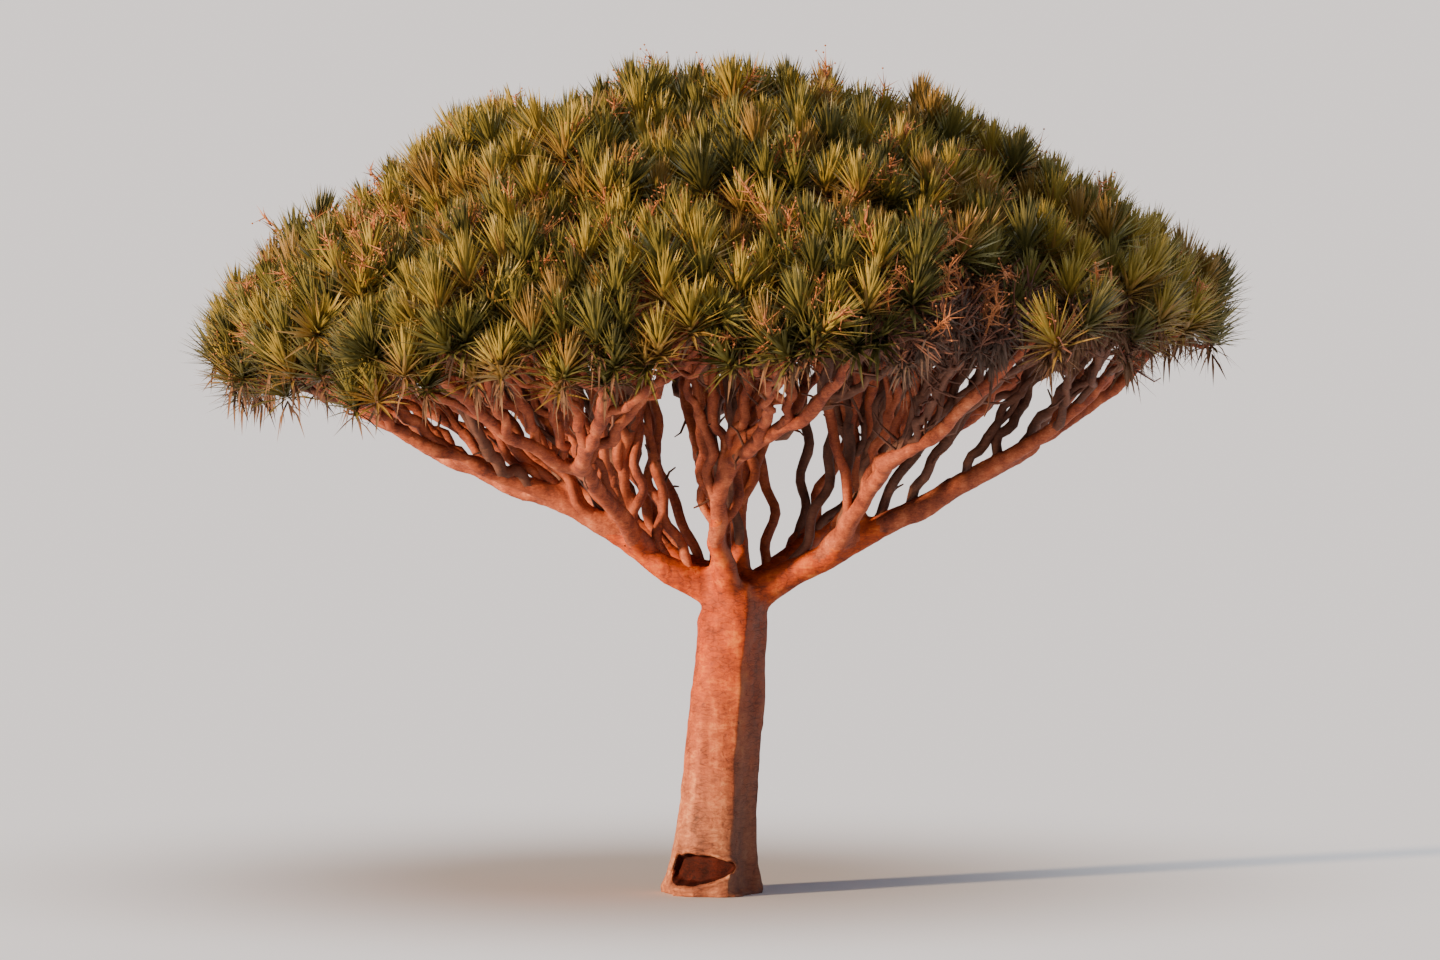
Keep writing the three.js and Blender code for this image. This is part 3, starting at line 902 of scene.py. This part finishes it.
carried_by_mass = {name: {i for i, mass in enumerate(owner) if mass == name} for name in MASSES}
for share, climb, spread in BOUGH_PLACES:
    for name in BOUGHS:
        start, way = station(name, share)
        middle = start + climb * unit(spread * way + 0.9 * UP + 0.15 * rng.normal(size=3))
        free = [
            i for members in carried_by_mass.values() if len(members) > LEFT_TO_LIMB for i in members
        ]
        free.sort(key=lambda i: np.linalg.norm(hearts[i] - middle))
        taken = free[:BOUGH_BRANCH_TIPS]
        for i in taken:
            carried_by_mass[owner[i]].discard(i)
        grow(wood_at(start, rng), start, way, taken, rng)
for name in LIMBS:
    members = sorted(carried_by_mass[name.replace("limb", "leaf_mass")])
    for start, way, taken in dealt_out(name, members):
        grow(wood_at(start, rng), start, way, taken, rng)
for i in np.flatnonzero(bare | withered):
    for _ in range(TWIGS_AT_DEAD_END if dead[i] else TWIGS_AT_DRY_END):
        foot = hearts[i] - 0.06 * aim[i]
        stub(dead_and_shaded_wood, foot, aim[i], TWIG_RADIUS, rng.uniform(0.12, 0.34), rng)

# Gaps still open to the sky between the green rosettes are filled last, each by one more rosette
# on a shoot from the nearest branch.
FILL_GAP = 0.205             # the widest left, from a gap's middle to that of the nearest rosette
FILL_REACH = 3.35            # how far from the crown's middle they are looked for
FILL_STEP = 0.07
FILL_SINK = 0.06             # how much lower the new rosettes sit than those around them
TUFT_MIDDLE = 0.15           # from a rosette's heart to the middle of its leaves
SHOOT_START = 0.2            # from the bearing rosette's heart down its branch
fill_rng = np.random.default_rng(TREE_SEED + 1)
green = np.flatnonzero(~(bare | withered))
tufts = hearts[green] + TUFT_MIDDLE * aim[green]
across = np.arange(-FILL_REACH, FILL_REACH, FILL_STEP)
spots = np.stack(np.meshgrid(across, across), -1).reshape(-1, 2)
spots = spots[np.linalg.norm(spots, axis=1) < FILL_REACH] + CROWN_FOCUS[:2]
gap = np.min([np.linalg.norm(spots - tuft[:2], axis=1) for tuft in tufts], axis=0)
first = len(hearts)
bearers, new_hearts, new_aim = [], [], []
while gap.max() > FILL_GAP:
    spot = spots[np.argmax(gap)]
    gap = np.minimum(gap, np.linalg.norm(spots - spot, axis=1))
    nearest = np.argsort(np.linalg.norm(tufts[:, :2] - spot, axis=1))[:3]
    lean = unit(aim[green[nearest]].mean(0) + 0.1 * fill_rng.normal(size=3))
    height = tufts[nearest, 2].mean() - FILL_SINK
    bearers.append(green[nearest[0]])
    new_hearts.append(np.array([*spot, height]) - TUFT_MIDDLE * lean)
    new_aim.append(lean)
hearts, aim = np.vstack([hearts, new_hearts]), np.vstack([aim, new_aim])
places = np.vstack([places, new_hearts])
dead, bare, withered = (np.pad(part, (0, len(bearers))) for part in (dead, bare, withered))
for i, bearer in enumerate(bearers, first):
    grow(young_wood, hearts[bearer] - SHOOT_START * aim[bearer], aim[bearer], [i], fill_rng)


# Leaves

# One sword leaf: its base, its widest place and its tip, folded along its midrib like a shallow V.
# Each point is a share of the width across, of the length along, and of the width upwards.
BLADE = np.array([
    (-0.36, 0.0, 0.0), (0.36, 0.0, 0.0),
    (-0.5, 0.42, 0.17), (0.0, 0.46, 0.0), (0.5, 0.42, 0.17),
    (0.0, 1.0, 0.0),
])
BLADE_FACES = np.array([(0, 1, 3), (0, 3, 2), (1, 4, 3), (2, 3, 5), (3, 4, 5)])


def blades(base, way, upper, length, width, droop):
    """Leaves from base points, each along its way with its upper side turned to upper.

    droop is how far each tip sinks below the leaf's straight way, as a share of its length.
    """
    across = unit(np.cross(way, upper))
    over = np.cross(across, way)
    x, y, z = BLADE.T
    points = (
        base[:, None]
        + (width[:, None] * x)[..., None] * across[:, None]
        + (length[:, None] * y)[..., None] * way[:, None]
        + (width[:, None] * z - (droop * length)[:, None] * y**2)[..., None] * over[:, None]
    )
    count = len(base)
    faces = BLADE_FACES[None] + (np.arange(count) * len(BLADE))[:, None, None]
    return points.reshape(-1, 3), faces.reshape(-1, 3)


def around(axis, azimuths, tilts):
    """Directions at azimuths round an axis and tilts away from it, in radians."""
    side = unit(np.cross(axis, np.eye(3)[np.argmin(np.abs(axis))]))
    other = np.cross(axis, side)
    ring = np.cos(azimuths)[:, None] * side + np.sin(azimuths)[:, None] * other
    return np.cos(tilts)[:, None] * axis + np.sin(tilts)[:, None] * ring


GOLDEN = math.radians(137.5)  # round the stem from one leaf to the next
FULL_TURN = 6.28
THIRDS = (0.0, 2.094, 4.189)  # of a turn
YOUNG_SHARE = 0.62           # of a rosette's leaves, its inner ones


def rosette(young, old, heart, axis, count, reach, rng):
    """A tuft of sword leaves on a branch's end, the oldest lowest and most spread.
    These lower, older leaves take a darker colour, partly as painted shade.

    reach is the length of its leaves, as a share of LEAF_LENGTH.
    """
    age = (np.arange(count) + 0.5) / count
    turn = GOLDEN * np.arange(count) + rng.uniform(0, FULL_TURN) + rng.normal(0, 0.12, count)
    tilt = np.radians(3 + 48 * age + 34 * age**3) + rng.normal(0, 0.10, count)
    way = around(axis, turn, tilt)
    base = heart + axis * (0.03 - 0.10 * age)[:, None] + way * 0.012
    length = LEAF_LENGTH * reach * rng.uniform(0.74, 1.08, count) * (0.88 + 0.12 * np.sin(np.pi * age))
    width = LEAF_WIDTH * rng.uniform(0.85, 1.15, count)
    droop = 0.01 + 0.13 * age**2 * rng.uniform(0.2, 1.4, count)
    upper = np.broadcast_to(axis, way.shape)
    # The lower, older leaves go to the darker stock, partly as painted shade.
    for stock, part in ((young, age < YOUNG_SHARE), (old, age >= YOUNG_SHARE)):
        stock.add(*blades(base[part], way[part], upper[part], length[part], width[part], droop[part]))


def loose_leaves(stock, heart, axis, count, tilts, rng):
    """Dry leaves that stand or hang at tilts, in degrees, from a rosette's axis."""
    turn = rng.uniform(0, FULL_TURN, count)
    tilt = np.radians(rng.uniform(*tilts, count))
    way = unit(around(axis, turn, tilt) - 0.3 * UP)
    base = heart - axis * rng.uniform(0.0, 0.14, count)[:, None]
    length = LEAF_LENGTH * rng.uniform(0.45, 0.85, count)
    width = LEAF_WIDTH * rng.uniform(0.6, 0.95, count)
    droop = rng.uniform(0.05, 0.4, count)
    stock.add(*blades(base, way, np.broadcast_to(UP, way.shape), length, width, droop))


def spikes(roots, ends, radius):
    """Thin three-sided stalks that run out to a point."""
    way = unit(ends - roots)
    side = unit(np.cross(way, UP + 0.01))
    other = np.cross(way, side)
    corners = [roots + radius * (math.cos(a) * side + math.sin(a) * other) for a in THIRDS]
    points = np.stack([*corners, ends], 1).reshape(-1, 3)
    faces = np.array([(0, 1, 3), (1, 2, 3), (2, 0, 3)])
    return points, (faces[None] + 4 * np.arange(len(roots))[:, None, None]).reshape(-1, 3)


# A shrunken berry: eight faces, 18 mm across with its husk.
BERRY = 0.009 * np.array([
    (1, 0, 0), (-1, 0, 0), (0, 1, 0), (0, -1, 0), (0, 0, 1), (0, 0, -1),
], float)
BERRY_FACES = np.array([
    (0, 2, 4), (2, 1, 4), (1, 3, 4), (3, 0, 4), (2, 0, 5), (1, 2, 5), (3, 1, 5), (0, 3, 5),
])


def panicle(stock, heart, axis, rng):
    """A dry flower stalk that parts in many fine ones, with a few shrunken berries."""
    lean = unit(axis + 0.35 * rng.normal(size=3) + 0.3 * UP)
    length = rng.uniform(0.26, 0.38)
    sag = unit(lean + 0.25 * rng.normal(size=3) - 0.15 * UP)
    stem = bent(heart, lean, heart + lean * length, sag, 4)
    stock.add(*tube(stem, np.linspace(0.009, 0.005, 5), 4))
    share = rng.uniform(0.3, 1.0, PANICLE_SPIKES)[:, None]
    roots = stem[0] + (stem[-1] - stem[0]) * share
    ways = unit(0.8 * lean + rng.normal(size=(PANICLE_SPIKES, 3)))
    ends = roots + ways * rng.uniform(0.07, 0.17, (PANICLE_SPIKES, 1))
    stock.add(*spikes(roots, ends, 0.006))
    for berry in ends[:PANICLE_BERRIES]:
        stock.add(berry + BERRY, BERRY_FACES)


# Parts of the crown's front, by their distance to the right and their height, that carry most of
# last year's flower stalks
FLOWERED = [(-2.5, 4.85), (-1.0, 5.0), (-0.4, 5.15), (0.3, 5.1), (1.0, 4.65), (1.5, 4.9)]
FLOWERED_REACH = 0.3
FLOWERED_MOST = 3.2          # times as many of them as elsewhere
LEAVES_AT_BARE_END = 10
WITHERED_LEAVES = 60         # of a withered rosette

leaf_stocks = [Stock() for _ in LEAF_COLOURS]
dry_leaves_and_painted_shade, dead_leaves, dry_stalks = Stock(), Stock(), Stock()
shares = np.array([share for _, _, share in LEAF_COLOURS])
# Whole parts of the crown flowered together and others hardly at all.
flowered = np.clip(0.8 + 1.6 * noise(hearts, 0.8, 21), 0.1, 2.0)
for x, z in FLOWERED:
    near = np.hypot(places[:, 0] - x, places[:, 2] - z) < FLOWERED_REACH
    flowered = np.where(near & (places[:, 1] < 0), FLOWERED_MOST, flowered)
for i, (heart, axis) in enumerate(zip(hearts, aim)):
    if rng.random() < (0.9 if bare[i] and not dead[i] else PANICLE_SHARE * flowered[i]):
        panicle(dry_stalks, heart, axis, rng)
    withering = dead_leaves if dead[i] else dry_leaves_and_painted_shade
    if bare[i]:
        loose_leaves(withering, heart, axis, LEAVES_AT_BARE_END, (60, 160), rng)
    elif withered[i]:
        loose_leaves(withering, heart + 0.03 * axis, axis, WITHERED_LEAVES, (10, 150), rng)
    else:
        colour = int(rng.choice(len(shares), p=shares / shares.sum()))
        # The older, lower leaves take the next darker colour, partly as painted shade.
        older_and_shaded_colour = min(colour + 1, len(shares) - 1)
        rosette(
            leaf_stocks[colour], leaf_stocks[older_and_shaded_colour], heart, axis, LEAVES_PER_ROSETTE,
            rng.uniform(0.85, 1.12), rng,
        )
        # Under each green rosette, dry brown leaves that also stand in as painted shade under the
        # crown.
        loose_leaves(dry_leaves_and_painted_shade, heart, axis, DRY_LEAVES_AND_SHADE_PER_ROSETTE, (85, 150), rng)


def finished(stock, name, material, smooth=False):
    """Turns a stock into a piece that rides with the tree and stands for the leaf masses."""
    obj = stock.piece(name, material, smooth)
    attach(obj, "root")
    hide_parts(*MASSES)


finished(young_wood, "young_branches", BRANCH_BARK, smooth=True)
finished(dead_and_shaded_wood, "dead_and_shaded_branches", GREY_BARK_AND_PAINTED_SHADE, smooth=True)
for stock, (name, code, _) in zip(leaf_stocks, LEAF_COLOURS):
    finished(stock, name + "_rosettes", leaf_material(name, code))
finished(dry_leaves_and_painted_shade, "dry_leaves_and_painted_shade", DRY_LEAF)
finished(dead_leaves, "dead_leaves", DEAD_LEAF)
finished(dry_stalks, "dry_flower_stalks", DRY_STALK)


# Floor, light and camera

def floor_material():
    """Plain pale matt studio floor."""
    material, _, shader = new_material("studio_floor")
    shader.inputs["Base Color"].default_value = linear("#f4f2ee")
    shader.inputs["Roughness"].default_value = 0.9
    shader.inputs["Specular IOR Level"].default_value = 0.0
    return material


bpy.ops.mesh.primitive_plane_add(size=6000, location=(0, 0, -0.002))
floor = bpy.context.object
floor.name = "studio_floor"
floor.data.materials.append(floor_material())


def sun(name, azimuth, elevation, strength, softness, code):
    """A far lamp that shines from an azimuth round the tree, 0 being behind the camera."""
    lamp = bpy.data.lights.new(name, "SUN")
    lamp.energy = strength
    lamp.angle = math.radians(softness)
    lamp.color = linear(code)[:3]
    obj = bpy.data.objects.new(name, lamp)
    bpy.context.scene.collection.objects.link(obj)
    obj.rotation_euler = (math.radians(90 - elevation), 0, math.radians(azimuth))


# The key comes low from the left, as the low sun does on the real tree.
sun("key", azimuth=-59, elevation=7, strength=10.5, softness=5, code="#ffdab2")
sun("top_fill", azimuth=20, elevation=75, strength=2.6, softness=60, code="#fbfbff")

world = bpy.data.worlds.new("studio")
bpy.context.scene.world = world
world.use_nodes = True
world.node_tree.nodes["Background"].inputs["Color"].default_value = linear("#c2cfec")
world.node_tree.nodes["Background"].inputs["Strength"].default_value = 0.34

VIEW_ELEVATION = math.radians(3.5)
VIEW_DISTANCE = 85.0
VIEW_WIDTH = 10.6            # metres across the frame at the tree
VIEW_X = 0.06                # the middle of the frame
VIEW_Z = 3.05
SENSOR_WIDTH = 36
camera = bpy.data.cameras.new("camera")
camera.sensor_width = SENSOR_WIDTH
camera.lens = SENSOR_WIDTH * VIEW_DISTANCE / VIEW_WIDTH
camera.clip_end = 3000
viewer = bpy.data.objects.new("camera", camera)
bpy.context.scene.collection.objects.link(viewer)
viewer.location = (
    VIEW_X,
    -VIEW_DISTANCE * math.cos(VIEW_ELEVATION),
    VIEW_Z + VIEW_DISTANCE * math.sin(VIEW_ELEVATION),
)
viewer.rotation_euler = (math.pi / 2 - VIEW_ELEVATION, 0, 0)
bpy.context.scene.camera = viewer
